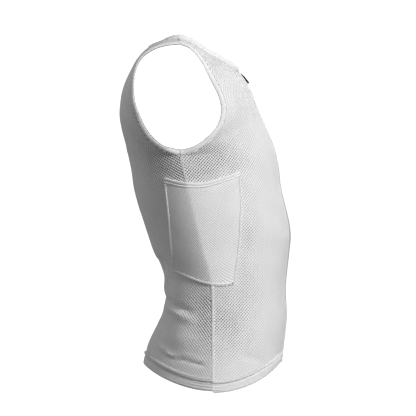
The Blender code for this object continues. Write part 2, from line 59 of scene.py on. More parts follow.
Level = namedtuple("Level", "z half_width front seam back")
LEVELS = (
    Level(-213, 170.0, -175.2, -6.0, 87.5),
    Level(-240, 169.0, -179.7, -12.0, 81.8),
    Level(-271, 167.0, -183.0, -20.0, 77.4),
    Level(-300, 164.0, -189.2, -26.5, 70.2),
    Level(-330, 160.0, -195.8, -33.0, 60.4),
    Level(-357, 156.0, -198.8, -40.0, 51.6),
    Level(-385, 153.0, -196.6, -47.5, 42.0),
    Level(-412, 151.0, -194.2, -56.0, 29.0),
    Level(-440, 149.5, -191.8, -62.0, 19.6),
    Level(-466, 149.0, -191.8, -63.5, 17.8),
    Level(-495, 152.0, -193.8, -63.5, 23.8),
    Level(-527, 157.0, -191.4, -63.5, 41.0),
    Level(-552, 162.0, -188.4, -63.5, 52.5),
    Level(-585, 166.0, -184.6, -63.5, 59.4),
)
Fan = namedtuple("Fan", "angle reach seam_x seam_reach")
FRONT_FAN = (
    Fan(0, 169.2, 170.0, 0.0),
    Fan(12, 161.5, 169.0, 27.5),
    Fan(23, 158.6, 167.0, 54.5),
    Fan(32, 160.5, 163.0, 85.0),
    Fan(43, 169.5, 157.0, 111.5),
    Fan(53, 177.6, 151.5, 129.0),
    Fan(66, 183.3, 143.5, 150.0),
    Fan(76, 189.5, 136.0, 174.5),
    Fan(84, 200.5, 131.0, 193.0),
    Fan(90, 207.5, 128.0, 201.0),
)
BACK_FAN = (
    Fan(0, 93.5, 170.0, 0.0),
    Fan(12, 100.5, 169.5, 28.5),
    Fan(23, 113.5, 168.0, 57.0),
    Fan(33, 129.5, 164.0, 84.0),
    Fan(41, 142.0, 160.0, 107.0),
    Fan(47, 152.8, 156.5, 128.5),
    Fan(54, 164.8, 151.0, 150.5),
    Fan(60, 175.5, 146.0, 169.0),
    Fan(66, 188.0, 141.0, 184.5),
    Fan(73, 199.0, 136.0, 194.5),
    Fan(81, 205.0, 131.0, 199.5),
    Fan(90, 207.5, 128.0, 201.0),
)


def smooth(table, at, column):
    """The column's values at places in the table, on a smooth curve through its rows."""
    rows = sorted(table, key=lambda row: row[0])
    places = np.array([row[0] for row in rows], float)
    values = np.array([getattr(row, column) for row in rows], float)
    last = len(places) - 1
    low, high = np.maximum(np.arange(last + 1) - 1, 0), np.minimum(np.arange(last + 1) + 1, last)
    slopes = (values[high] - values[low]) / (places[high] - places[low])
    at = np.clip(at, places[0], places[-1])
    i = np.searchsorted(places[1:-1], at)
    span = places[i + 1] - places[i]
    t = (at - places[i]) / span
    return (
        (2 * t**3 - 3 * t**2 + 1) * values[i]
        + (t**3 - 2 * t**2 + t) * span * slopes[i]
        + (3 * t**2 - 2 * t**3) * values[i + 1]
        + (t**3 - t**2) * span * slopes[i + 1]
    )


def ease(t):
    t = np.clip(t, 0.0, 1.0)
    return t * t * (3 - 2 * t)


def fan_point(front, angle, turn):
    """Points of the upper body, turn going from 0 at the middle to a right angle at the armhole seam."""
    table = FRONT_FAN if front else BACK_FAN
    reach = smooth(table, angle, "reach")
    fullness = 1 - (np.maximum(smooth(table, angle, "seam_reach"), 0) / reach) ** DEPTH_POWER
    x = smooth(table, angle, "seam_x") * np.sin(turn) ** (2 / WIDTH_POWER)
    r = reach * np.maximum(1 - fullness * np.sin(turn) ** 2, 0) ** (1 / DEPTH_POWER)
    up = np.radians(angle)
    away = -1 if front else 1
    return np.stack([x, AXIS_Y + away * r * np.cos(up), AXIS_Z + r * np.sin(up)], -1)


def body_point(front, z, turn):
    """Points of the body below the armpits, turn going from 0 at the middle to a right angle at the side."""
    seam = smooth(LEVELS, z, "seam")
    depth = smooth(LEVELS, z, "front" if front else "back") - seam
    x = smooth(LEVELS, z, "half_width") * np.sin(turn) ** (2 / WIDTH_POWER)
    share = np.maximum(np.cos(turn), 0) ** (2 / DEPTH_POWER)
    sag = ease((DIP_FROM_Z - z) / (DIP_FROM_Z - HEM_SEAM_Z))
    dip = FRONT_DIP if front else BACK_DIP
    drop = dip.depth * sag * (1 - share**dip.starts) ** dip.ends
    return np.stack([x, seam + depth * share, z - drop], -1)


def panel_point(front, row, turn):
    """row is an angle above the armpits, and a distance below them as a negative number."""
    row, turn = np.broadcast_arrays(row, turn)
    upper = fan_point(front, np.maximum(row, 0), turn)
    lower = body_point(front, AXIS_Z + np.minimum(row, 0), turn)
    return np.where((row >= 0)[..., None], upper, lower)


def unit(ways):
    return ways / np.maximum(np.linalg.norm(ways, axis=-1, keepdims=True), 1e-9)


def outward(front, row, turn):
    """The way out of the cloth at points of the half with positive x."""
    row, turn = np.broadcast_arrays(np.asarray(row, float), np.asarray(turn, float))
    step = 0.02
    low = np.minimum(np.maximum(turn - step, 0.002), math.pi / 2 - 2 * step)
    across = panel_point(front, row, low + 2 * step) - panel_point(front, row, low)
    top = np.minimum(row + 0.5, 90.0)
    down = panel_point(front, top - 1.0, turn) - panel_point(front, top, turn)
    way = np.cross(down, across) if front else np.cross(across, down)
    way[..., 0] = np.where(turn < step, 0.0, way[..., 0])
    at_side = turn > math.pi / 2 - step
    below = (at_side & (row <= 0))[..., None]
    level = np.stack(
        [np.ones_like(row), np.zeros_like(row), way[..., 2] / np.maximum(np.abs(way[..., 0]), 1)], -1
    )
    way = unit(np.where(below, level, way))
    turned = np.where(at_side & (row > 0), ease(row / ARMPIT_ANGLE), 1.0)[..., None]
    way = way * turned + np.array([1.0, 0.0, 0.0]) * (1 - turned)
    way[..., 1] = np.where(row > 89.9, 0.0, way[..., 1])
    return unit(way)


# Creases, as a soft trough (lift below zero) or ridge from one place to another. On the sides they are
# placed by y and z, on the front and back by x and z, and bow is how far their middle bends aside.
Crease = namedtuple("Crease", "face from_a from_z to_a to_z lift half_width bow")
CREASES = (
    Crease("right", 20, -467, -26, -492, -4.6, 6.0, -2),
    Crease("right", 14, -481, -32, -508, 3.4, 7, -2),
    Crease("right", 30, -552, -12, -571, 2.6, 2.7, -5.5),
    Crease("right", 24, -561, -10, -577, -1.0, 3.5, -5),
    Crease("right", -6, -573, -50, -586, -2.6, 3.0, -1),
    Crease("right", -10, -566, -48, -579, 1.8, 3.5, -1),
    Crease("right", 34, -397, 14, -419, -1.8, 8, 0),
    Crease("right", -116, -569, -148, -576, -1.8, 6, 0),
    Crease("right", -2, -440, -8, -556, 7.5, 27, 0),
    Crease("left", 20, -451, -30, -475, -2.8, 8, 0),
    Crease("left", 24, -473, -24, -491, 2.4, 10, 0),
    Crease("left", 36, -538, -8, -564, 2.4, 10, 4),
    Crease("left", 32, -394, 13, -416, -2.0, 9, 0),
    Crease("left", -112, -554, -146, -566, -1.8, 9, 0),
    Crease("left", -4, -445, -9, -548, 5.5, 28, 0),
    Crease("front", -96, -300, -52, -352, -1.6, 13, 5),
    Crease("front", 90, -318, 44, -362, -1.8, 14, -6),
    Crease("front", -70, -470, -30, -505, -1.5, 11, 3),
    Crease("front", 78, -455, 40, -500, -1.7, 12, -4),
    Crease("back", -84, -395, -20, -420, -2.4, 11, 6),
    Crease("back", 88, -385, 26, -425, -2.2, 12, -6),
    Crease("back", -70, -428, 10, -448, 2.2, 12, 5),
    Crease("back", 76, -452, -14, -476, -2.0, 11, -5),
    Crease("back", -92, -488, -30, -512, 1.8, 13, 6),
    Crease("back", 96, -500, 36, -530, 1.7, 13, -6),
)


def crease_lift(point, front, side):
    """How far the creases move the cloth out at points of one half."""
    lift = np.zeros(point.shape[:-1])
    for crease in CREASES:
        if crease.face == ("right" if side < 0 else "left"):
            a = point[..., 1]
        elif crease.face == ("front" if front else "back"):
            a = point[..., 0] * side
        else:
            continue
        run_a, run_z = crease.to_a - crease.from_a, crease.to_z - crease.from_z
        length = math.hypot(run_a, run_z)
        to_a, to_z = a - crease.from_a, point[..., 2] - crease.from_z
        along = (to_a * run_a + to_z * run_z) / length**2
        bend = 4 * crease.bow * np.clip(along, 0, 1) * (1 - np.clip(along, 0, 1))
        aside = (to_a * run_z - to_z * run_a) / length - bend
        ends = ease(along / 0.35 + 0.5) * ease((1 - along) / 0.35 + 0.5)
        lift += crease.lift * ends * np.exp(-((aside / crease.half_width) ** 2))
    return lift


def cloth_point(front, row, turn, side):
    """The cloth's outer face and its way out, on the wearer's right (-1) or left (1)."""
    point, way = panel_point(front, row, turn), outward(front, row, turn)
    lift = crease_lift(point, front, side) * ease(-np.asarray(row, float) / 20)
    point = point + way * lift[..., None]
    return point * [side, 1, 1], way * [side, 1, 1]


def turn_at(front, row, x):
    """The turn at which a section is x wide."""
    upper = smooth(FRONT_FAN if front else BACK_FAN, np.maximum(row, 0), "seam_x")
    lower = smooth(LEVELS, AXIS_Z + np.minimum(row, 0), "half_width")
    wide = np.where(np.asarray(row) >= 0, upper, lower)
    return np.arcsin(np.minimum(x / wide, 1.0) ** (WIDTH_POWER / 2))


SEAM_GAP = 0.3
NECK_HALF_WIDTH, FRONT_NECK_ANGLE, BACK_NECK_ANGLE = 80.0, 54.0, 72.8
ZIP_HALF = 7.0
CLOTH = 1.5
COLUMNS, NECK_ROWS, FAN_ROWS, BODY_ROWS = 56, 20, 42, 92


def neck_edge(front, swing):
    """(row, x) on the neckline, swing going from 0 at the middle to a right angle at the shoulder."""
    neck_angle = FRONT_NECK_ANGLE if front else BACK_NECK_ANGLE
    return 90 - (90 - neck_angle) * np.cos(swing), NECK_HALF_WIDTH * np.sin(swing)


def panel_grid(front, side):
    """One half of the front or back: places and ways out, rows from the shoulder seam to the hem seam,
    columns from the middle to the side."""
    inner = ZIP_HALF if front else 0.0
    start = math.asin(inner / NECK_HALF_WIDTH)
    neck_rows, neck_x = neck_edge(front, np.linspace(math.pi / 2, start, NECK_ROWS + 1))
    upper = neck_rows[-1] * (1 - np.arange(1, FAN_ROWS + 1) / FAN_ROWS)
    lower = (HEM_SEAM_Z - AXIS_Z) * np.arange(1, BODY_ROWS + 1) / BODY_ROWS
    rows = np.concatenate([neck_rows, upper, lower])
    x_inner = np.concatenate([neck_x, np.full(FAN_ROWS + BODY_ROWS, inner)])
    begin = turn_at(front, rows, x_inner)[:, None]
    turn = begin + (math.pi / 2 - begin) * np.linspace(0, 1, COLUMNS + 1)
    point, way = cloth_point(front, rows[:, None], turn, side)
    gap = -SEAM_GAP / 2 if front else SEAM_GAP / 2
    point[0, :, 1] += gap
    point[NECK_ROWS + FAN_ROWS :, -1, 1] += gap
    return point, way


def lay_flat(point):
    """Each point's place in the flat pattern, in millimetres, found by springs between neighbours."""
    steps = np.linalg.norm(np.diff(point, axis=1), axis=-1)
    across = np.concatenate([np.abs(point[:, :1, 0]), np.abs(point[:, :1, 0]) + np.cumsum(steps, 1)], 1)
    drops = np.linalg.norm(np.diff(point[..., 1:], axis=0), axis=-1)
    down = np.concatenate([np.zeros((1, point.shape[1])), -np.cumsum(drops, 0)], 0)
    flat = np.stack([across, down - down[NECK_ROWS + FAN_ROWS]], -1)
    rows, columns = point.shape[:2]
    springs = []
    for i, j in ((0, 1), (1, 0), (1, 1), (1, -1)):
        a = (slice(0, rows - i), slice(max(-j, 0), columns - max(j, 0)))
        b = (slice(i, rows), slice(max(j, 0), columns + min(j, 0)))
        springs.append((a, b, np.linalg.norm(point[b] - point[a], axis=-1)))
    moving = np.zeros_like(flat)
    for _ in range(500):
        push = np.zeros_like(flat)
        for a, b, rest in springs:
            gap = flat[b] - flat[a]
            share = (gap * (1 - rest / np.linalg.norm(gap, axis=-1))[..., None]) / 2
            push[a] += share
            push[b] -= share
        moving = moving * 0.93 + push * 0.22
        flat = flat + moving
    return flat


def grid_index(grid):
    """The numbers of a grid's points, row by row."""
    return np.arange(grid[..., 0].size).reshape(grid.shape[:2])


def quads(index):
    """The four-sided cells of a grid of point numbers."""
    return np.stack([index[:-1, :-1], index[1:, :-1], index[1:, 1:], index[:-1, 1:]], -1).reshape(-1, 4)


# Where the mesh is pulled open so that its eyelets show, as soft patches seen from the side. There the
# eyelets are painted dark as painted shade, and the threads are painted lighter as painted light.
Open = namedtuple("Open", "y z half_long half_high amount")
OPEN_MESH = (
    Open(-60, -222, 64, 40, 0.85),
    Open(14, -220, 48, 38, 0.75),
    Open(60, -140, 28, 60, 0.7),
    Open(28, -34, 36, 26, 0.3),
    Open(-50, -46, 62, 40, 0.45),
    Open(-112, -110, 26, 60, 0.3),
    Open(-124, -370, 20, 110, 0.3),
    Open(-42, -500, 30, 62, 0.42),
    Open(-92, -500, 44, 70, 0.6),
    Open(-45, -340, 70, 90, 0.3),
)


def openness(places):
    """How open the mesh is at places, from 0 to 1."""
    amount = np.full(len(places), 0.2)
    for patch in OPEN_MESH:
        far = ((places[:, 1] - patch.y) / patch.half_long) ** 2
        far += ((places[:, 2] - patch.z) / patch.half_high) ** 2
        amount += patch.amount * np.exp(-far)
    return np.clip(amount, 0, 1)


def in_scene(name, data):
    made = bpy.data.objects.new(name, data)
    bpy.context.scene.collection.objects.link(made)
    return made


def add_piece(name, places, faces, pattern, material, body="vest"):
    """A smooth-shaded mesh piece on a body, with its place in the flat pattern kept for its weave."""
    mesh = bpy.data.meshes.new(name)
    mesh.from_pydata((places * MM).tolist(), [], [list(face) for face in faces])
    mesh.validate()
    attribute = mesh.attributes.new("pattern", "FLOAT_VECTOR", "POINT")
    flat = np.zeros((len(places), 3), np.float32)
    flat[:, : pattern.shape[1]] = pattern
    attribute.data.foreach_set("vector", flat.ravel())
    opened = mesh.attributes.new("openness", "FLOAT", "POINT")
    opened.data.foreach_set("value", openness(places).astype(np.float32))
    mesh.shade_smooth()
    mesh.set_sharp_from_angle(angle=math.radians(40))
    mesh.materials.append(material)
    piece = in_scene(name, mesh)
    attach(piece, body)
    return piece


def shell(name, point, way, cells, low, high, pattern, material):
    """A closed thin wall of cloth on numbered points, between two distances out from them."""
    point, way, pattern = point.reshape(-1, 3), way.reshape(-1, 3), pattern.reshape(-1, 2)
    count = len(point)
    places = np.concatenate([point + way * high, point + way * low])
    edges = np.concatenate([cells[:, [k, (k + 1) % 4]] for k in range(4)])
    both = {(int(a), int(b)) for a, b in edges}
    rim = [(b, a, a + count, b + count) for a, b in sorted(both) if (b, a) not in both]
    faces = cells.tolist() + (cells[:, ::-1] + count).tolist() + rim
    return add_piece(name, places, faces, np.concatenate([pattern, pattern]), material)


class Finish:
    """A material's nodes, made one after another."""

    def __init__(self, name, colour, roughness):
        self.material = bpy.data.materials.new(name)
        self.material.use_nodes = True
        self.tree = self.material.node_tree
        self.shader = self.tree.nodes["Principled BSDF"]
        self.amount("Base Color", (*colour, 1))
        self.amount("Roughness", roughness)
        pattern = self.add("Attribute", attribute_name="pattern")
        self.place = pattern.outputs["Vector"]

    def add(self, kind, inputs=(), **settings):
        made = self.tree.nodes.new("ShaderNode" + kind)
        for key, value in settings.items():
            setattr(made, key, value)
        for key, value in dict(inputs).items():
            if isinstance(value, bpy.types.NodeSocket):
                self.tree.links.new(value, made.inputs[key])
            else:
                made.inputs[key].default_value = value
        return made

    def math(self, operation, a, b=0.0):
        return self.add("Math", {0: a, 1: b}, operation=operation).outputs[0]

    def wave(self, along, pitch):
        """A cosine of that pitch in millimetres along one way."""
        return self.math("COSINE", self.math("MULTIPLY", along, 2 * math.pi / pitch))

    def step(self, value, low, high):
        """0 below low and 1 above high, with a soft step between."""
        made = self.add(
            "MapRange", {"Value": value, "From Min": low, "From Max": high}, interpolation_type="SMOOTHSTEP"
        )
        return made.outputs["Result"]

    def noise(self, size, detail=2.0, stretch=(1, 1, 1)):
        """Uneven grey of that size in millimetres."""
        scaled = self.add("Mapping", {"Vector": self.place, "Scale": [k / size for k in stretch]})
        made = self.add("TexNoise", {"Vector": scaled.outputs[0], "Scale": 1.0, "Detail": detail})
        return made.outputs["Fac"]

    def blend(self, share, a, b):
        made = self.add("Mix", data_type="RGBA")
        for key, value in ((0, share), (6, a), (7, b)):
            if isinstance(value, bpy.types.NodeSocket):
                self.tree.links.new(value, made.inputs[key])
            else:
                made.inputs[key].default_value = value
        return made.outputs[2]

    def amount(self, name, value):
        self.shader.inputs[name].default_value = value

    def set(self, name, socket):
        self.tree.links.new(socket, self.shader.inputs[name])

    def relief(self, height, distance):
        bump = self.add("Bump", {"Height": height, "Distance": distance * MM, "Strength": 1.0})
        self.set("Normal", bump.outputs["Normal"])


def grey(value):
    return (value, value, value, 1)


def eyelet_mesh(name, pitch, cloth, shade, depth):
    """Knitted mesh: diamond eyelets between slanting threads, thick one way and thin the other, which are
    open where the mesh is pulled. The eyelets are painted dark, as painted shade for the dark inside seen
    through them, and the open mesh is painted lighter, as painted light on its lit threads."""
    made = Finish(name, (cloth,) * 3, 0.85)
    parts = made.add("SeparateXYZ", {0: made.place})
    drift = made.math("MULTIPLY", made.math("SUBTRACT", made.noise(26), 0.5), 1.6)
    u = made.math("ADD", made.math("ABSOLUTE", parts.outputs[0]), drift)
    v = made.math("ADD", parts.outputs[1], drift)
    thick = made.math("ABSOLUTE", made.wave(made.math("ADD", u, v), 2 * pitch))
    thin = made.math("ABSOLUTE", made.wave(made.math("SUBTRACT", u, v), 2 * pitch))
    eyelet = made.math("MULTIPLY", made.step(thick, 0.46, 0.9), made.step(thin, 0.18, 0.75))
    opened = made.add("Attribute", attribute_name="openness").outputs["Fac"]
    uneven = made.math("MULTIPLY", opened, made.math("ADD", made.noise(40), 0.5))
    # Painted shade: the eyelets are not cut through but painted dark where the mesh is open, for the shadowed
    # inside seen through them; the same mask also sinks the relief.
    hole_depth_and_painted_shade = made.math("MULTIPLY", eyelet, made.math("MINIMUM", uneven, 1.0))
    # Painted light: the open mesh is painted lighter than the closed mesh, standing in for its lit threads;
    # the closed mesh also has a random mottle of its own.
    closed = made.blend(made.noise(30, 4), grey(cloth * 0.9), grey(cloth * 0.96))
    tone = made.blend(made.step(opened, 0.1, 0.7), closed, grey(cloth * 1.06))
    made.set("Base Color", made.blend(hole_depth_and_painted_shade, tone, grey(shade)))
    loops = made.math("MULTIPLY", made.wave(u, 1.1), made.wave(v, 0.8))
    threads = made.math("ADD", made.math("MULTIPLY", loops, 0.1), made.math("MULTIPLY", made.noise(1.2), 0.3))
    ridges = made.math("MULTIPLY", made.math("MULTIPLY", thick, opened), 1.2)
    made.relief(made.math("SUBTRACT", threads, made.math("ADD", ridges, hole_depth_and_painted_shade)), depth)
    made.set("Roughness", made.step(made.noise(9), -0.6, 1.4))
    made.amount("Sheen Weight", 0.12)
    made.amount("Sheen Roughness", 0.5)
    made.amount("Specular IOR Level", 0.25)
    return made.material


SIDES = ((-1, "right"), (1, "left"))
panel_mesh = eyelet_mesh("white_eyelet_mesh", 5.8, 0.91, 0.15, 0.5)
grids = {(front, side): panel_grid(front, side) for front in (True, False) for side in (-1, 1)}
flats = {key: lay_flat(grid[0]) for key, grid in grids.items()}
for side, name in SIDES:
    point, way = grids[True, side]
    index = grid_index(point)
    cells = quads(index) if side > 0 else quads(index)[:, ::-1]
    flat = flats[True, side]
    front = shell("front_" + name + "_cloth", point, way, cells, -CLOTH, 0.0, flat, panel_mesh)
    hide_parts("front_" + name)


# --- Back ------------------------------
# One panel of the same mesh, cut on the fold, with a shallow curved neckline. It is joined to the
# fronts at the shoulders and sides.
points, ways, cells, flat = [], [], [], []
for side in (-1, 1):
    point, way = grids[False, side]
    index = grid_index(point) + len(points) * point[..., 0].size
    if side < 0:
        middle = index[NECK_ROWS:, 0].copy()
    index[NECK_ROWS:, 0] = middle
    points.append(point.reshape(-1, 3))
    ways.append(way.reshape(-1, 3))
    flat.append((flats[False, side] * [side, 1]).reshape(-1, 2))
    cells.append(quads(index) if side < 0 else quads(index)[:, ::-1])
back = shell(
    "back_cloth",
    np.concatenate(points),
    np.concatenate(ways),
    np.concatenate(cells),
    -CLOTH,
    0.0,
    np.concatenate(flat),
    panel_mesh,
)
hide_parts("back")


# --- Shoulder and side seams -----------
# Flat-locked seams: the two raw edges are butted under a narrow raised band of thread, sewn in one pass
# with two rows of needle stitches.
def run_along(line):
    """How far along a line each of its points is."""
    return np.concatenate([[0], np.cumsum(np.linalg.norm(np.diff(line, axis=0), axis=1))])


def even(line, way, step, closed=False):
    """The same line with its points evenly spaced, about a step apart: places, ways out, distances."""
    if closed:
        line, way = np.vstack([line, line[:1]]), np.vstack([way, way[:1]])
    run = run_along(line)
    count = max(int(round(run[-1] / step)), 2)
    at = np.linspace(0, run[-1], count + 1)
    if closed:
        at = at[:-1]
    line = np.stack([np.interp(at, run, line[:, k]) for k in range(3)], -1)
    way = unit(np.stack([np.interp(at, run, way[:, k]) for k in range(3)], -1))
    return line, way, at


def tangents(line, closed=False):
    if closed:
        return unit(np.roll(line, -1, 0) - np.roll(line, 1, 0))
    return unit(np.gradient(line, axis=0))


def sweep(name, line, across, out, outline, material, closed=False, distance=None):
    """A solid whose outline, as (across, up) for each place or for all of them, runs along a line."""
    outline = np.broadcast_to(np.asarray(outline, float), (len(line),) + np.shape(outline)[-2:])
    rings = line[:, None] + across[:, None] * outline[..., :1] + out[:, None] * outline[..., 1:]
    k = rings.shape[1]
    index = grid_index(rings)
    index = np.concatenate([index, index[:, :1]], 1)
    if closed:
        index = np.concatenate([index, index[:1]], 0)
    faces = quads(index).tolist()
    if not closed:
        faces += [index[0, :k].tolist(), index[-1, :k][::-1].tolist()]
    if distance is None:
        distance = run_along(line)
    around = run_along(outline[0])
    pattern = np.stack(np.broadcast_arrays(distance[:, None], around[None]), -1).reshape(-1, 2)
    volume_sign = np.einsum("ij,ij->i", np.cross(across, out), tangents(line, closed)).mean()
    first, second = outline[0], np.roll(outline[0], -1, 0)
    area = (first[:, 0] * second[:, 1] - first[:, 1] * second[:, 0]).sum()
    if volume_sign * area > 0:
        faces = [face[::-1] for face in faces]
    return add_piece(name, rings.reshape(-1, 3), faces, pattern, material)


Stitch = namedtuple("Stitch", "long wide rise")


def stitches(name, place, along, out, stitch, material):
    """Many small stitches as one mesh, each a short thread that dips into the cloth at its ends."""
    long, wide, rise = stitch
    side = unit(np.cross(out, along))
    stations = ((-0.5, 0.35, -0.9), (-0.34, 1.0, 0.0), (0.34, 1.0, 0.0), (0.5, 0.35, -0.9))
    ring = [(math.cos(k * math.pi / 3), math.sin(k * math.pi / 3)) for k in range(6)]
    rings = []
    for at, size, dip in stations:
        for c, s in ring:
            lift = rise + dip * rise + s * wide / 2 * size
            rings.append(place + along * (at * long) + side * (c * wide / 2 * size) + out * lift)
    places = np.stack(rings, 1).reshape(-1, 3)
    one = []
    for r in range(3):
        for k in range(6):
            n = (k + 1) % 6
            one.append((r * 6 + k, r * 6 + n, r * 6 + 6 + n, r * 6 + 6 + k))
    count = len(place)
    faces = [[v + 24 * c for v in face] for c in range(count) for face in one]
    faces += [[24 * c + v for v in (5, 4, 3, 2, 1, 0)] for c in range(count)]
    faces += [[24 * c + 18 + v for v in range(6)] for c in range(count)]
    return add_piece(name, places, faces, places[:, 1:], material)


def knit(name, tone, rib, strength):
    """Smooth knitted cloth with fine ribs along it."""
    made = Finish(name, (tone,) * 3, 0.8)
    parts = made.add("SeparateXYZ", {0: made.place})
    ribs = made.math("MULTIPLY", made.wave(parts.outputs[1], rib), 0.5)
    loops = made.math("MULTIPLY", made.wave(parts.outputs[0], rib * 0.8), 0.35)
    height = made.math("ADD", made.math("ADD", ribs, loops), made.noise(0.6, 3))
    made.relief(height, strength)
    made.set("Base Color", made.blend(made.noise(14, 4), grey(tone * 0.96), grey(tone * 1.02)))
    made.set("Roughness", made.step(made.noise(5), -1.0, 1.6))
    made.amount("Sheen Weight", 0.15)
    made.amount("Sheen Roughness", 0.45)
    made.amount("Specular IOR Level", 0.3)
    return made.material


def thread(name, tone):
    """Twisted polyester sewing thread."""
    made = Finish(name, (tone,) * 3, 0.5)
    made.relief(made.noise(0.25, 2, (1, 1, 4)), 0.1)
    made.set("Base Color", made.blend(made.noise(3), grey(tone * 0.9), grey(tone)))
    made.amount("Specular IOR Level", 0.4)
    return made.material


seam_knit = knit("seam_cover_thread", 0.9, 0.9, 0.2)
white_thread = thread("white_thread", 0.88)
grey_thread = thread("grey_thread", 0.25)
SEAM_STITCH = Stitch(2.0, 0.55, 0.95)
SEAM_OUTLINE = ((-2.6, -0.5), (-2.5, 0.35), (-1.5, 0.95), (0, 1.15), (1.5, 0.95), (2.5, 0.35), (2.6, -0.5))
for side, name in SIDES:
    rows = np.linspace(-3, HEM_SEAM_Z - AXIS_Z + 1, 180)
    line, way = cloth_point(True, rows, np.full(180, math.pi / 2), side)
    line, way, _ = even(line, way, 2.5)
    along = tangents(line)
    across = unit(np.cross(way, along))
    full = 0.5 + 0.5 * ease((-270 - line[:, 2]) / 120)
    shapes = np.array(SEAM_OUTLINE) * full[:, None, None]
    sweep("side_seam_" + name, line, across, way, shapes, seam_knit)
    turns = np.linspace(turn_at(True, 90, NECK_HALF_WIDTH), math.pi / 2, 40)
    top, up = cloth_point(True, np.full(40, 90.0), turns, side)
    top, up, _ = even(top, up, 2.5)
    run = tangents(top)
    sweep("shoulder_seam_" + name, top, unit(np.cross(up, run)), up, SEAM_OUTLINE, seam_knit)
    for word, (seam, lift, ahead) in {"side": (line, way, along), "shoulder": (top, up, run)}.items():
        sides = unit(np.cross(lift, ahead))
        place = np.concatenate([seam + sides * 1.6, seam - sides * 1.6])
        ahead, lift = np.concatenate([ahead, ahead]), np.concatenate([lift, lift])
        stitches(word + "_seam_stitches_" + name, place, ahead, lift, SEAM_STITCH, white_thread)


# --- Armhole bindings ------------------
# A strip of smooth knit folded over the raw edge of each armhole and sewn down with one row of stitches.
# Its ends overlap under the arm, where the join shows as a short raised bar.
BINDING_WIDTH, ARMHOLE_LEAN, BINDING_STITCHES_IN = 8.8, 0.4, 2.8
BINDING_STEP, BINDING_STITCH = 2.2, Stitch(1.7, 0.5, 0.65)
BINDING_UNDER, BINDING_JOIN_RISE = 2.1, 0.8


def folded_strip(width, roll, groove):
    """The outline of a strip folded over an edge, with a groove beside the panel. roll is how far its
    outer face slopes down toward the fold."""
    outer = [(groove - 0.9, -1.2), (groove + 0.2, -0.4), (groove + 1.2, 0.7)]
    outer += [(2.9, 1.0), (4.2, 1.0 - roll * 0.2), (5.8, 0.9 - roll * 0.8)]
    outer += [(width - 1.4, 0.6 - roll), (width - 0.4, 0.0 - roll), (width, -0.7 - roll)]
    outer += [(width - 0.3, -1.3 - roll * 0.9), (width - 1.4, -2.2), (5.0, -2.35), (2.8, -2.0)]
    outer += [(0.3, -BINDING_UNDER)]
    inner = [(0.4, -1.9), (2.8, -1.5), (5.0, -1.7), (width - 1.9, -1.7), (width - 1.0, -0.95 - roll / 2)]
    inner += [(width - 1.9, -0.2 - roll), (5.0, -0.1 - roll * 0.4), (2.9, 0.3), (1.9, 0.0), (1.2, -1.1)]
    return np.array(outer + inner)


def armhole_line(side):
    up = np.linspace(0, 90, 200)
    front, front_way = cloth_point(True, up, np.full(200, math.pi / 2), side)
    back, back_way = cloth_point(False, up[::-1], np.full(200, math.pi / 2), side)
    return np.vstack([front, back[1:-1]]), np.vstack([front_way, back_way[1:-1]])


def toward(line, way, along, target):
    """The way across a seam, toward a point."""
    across = unit(np.cross(way, along))
    aim = np.einsum("ij,ij->i", across, target - line)
    return across * np.sign(np.median(aim) if np.abs(aim).min() < 1 else aim)[..., None]


def facing_sideways(line, across, way, along):
    """The strip turned about its seam so that it faces more to the side, clear of the panel."""
    turned = across * [ARMHOLE_LEAN, 1, 1]
    turned = unit(turned - along * np.einsum("ij,ij->i", turned, along)[:, None])
    slope = np.einsum("ij,ij->i", turned, way)[:, None]
    return line + turned * BINDING_UNDER * np.abs(slope), turned, unit(way - turned * slope)


binding_knit = knit("white_binding_knit", 0.9, 0.8, 0.1)
outline = folded_strip(BINDING_WIDTH, 0.5, 0.5)
for side, name in SIDES:
    line, way, at = even(*armhole_line(side), BINDING_STEP, closed=True)
    along = tangents(line, closed=True)
    across = toward(line, way, along, np.array([side * 170.0, 0.0, -110.0]))
    line, across, way = facing_sideways(line, across, way, along)
    shapes = np.repeat(outline[None], len(line), 0)
    bar = np.exp(-(((at - 2.0) / 1.6) ** 2))
    notch = np.exp(-(((at[-1] - at) / 1.6) ** 2))
    shapes[:, 2:8, 1] += (bar * BINDING_JOIN_RISE - notch * BINDING_JOIN_RISE)[:, None]
    cloth_name = "armhole_binding_cloth_" + name
    binding = sweep(cloth_name, line, across, way, shapes, binding_knit, closed=True, distance=at)
    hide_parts("armhole_binding_" + name)
    row = line + across * BINDING_STITCHES_IN
    stitches("armhole_stitches_" + name, row, along, way, BINDING_STITCH, white_thread)


# --- Neck binding ----------------------
# The same folded strip round the neckline, from one end of the zip round the back to the other. It
# stands up a little where the shoulders are level.
NECK_BINDING_WIDTH = 11.0
Stand = namedtuple("Stand", "y slope")
NECK_STANDS = (
    Stand(-120, 1.3),
    Stand(-20, 1.3),
    Stand(8, 0.95),
    Stand(21, 0.5),
    Stand(35, 0.12),
    Stand(60, 0.12),
)


def neck_line():
    swing = np.linspace(math.asin(ZIP_HALF / NECK_HALF_WIDTH), math.pi / 2, 60)
    back_swing = np.linspace(math.pi / 2, 0, 60)[1:]
    halves = []
    for side in (-1, 1):
        parts = []
        for front, turns in ((True, swing), (False, back_swing)):
            row, x = neck_edge(front, turns)
            parts.append(cloth_point(front, row, turn_at(front, row, x), side))
        halves.append([np.vstack([parts[0][k], parts[1][k]]) for k in (0, 1)])
    right, left = halves
    return [np.vstack([right[k], left[k][-2::-1]]) for k in (0, 1)]


line, way, at = even(*neck_line(), BINDING_STEP)
along = tangents(line)
across = toward(line, way, along, np.array([0.0, -30.0, 20.0]))
for end in (0, -1):
    across[end] = unit(across[end] * [0, 1, 1])
stand = (smooth(NECK_STANDS, line[:, 1], "slope") * np.maximum(way[:, 2], 0))[:, None]
across, way = unit(across + way * stand), unit(way - across * stand)
neck_outline = folded_strip(NECK_BINDING_WIDTH, 0.2, 1.2)
neck = sweep("neck_binding_cloth", line, across, way, neck_outline, binding_knit, distance=at)
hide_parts("neck_binding")
row = line + across * BINDING_STITCHES_IN
stitches("neck_stitches", row, along, way, BINDING_STITCH, white_thread)


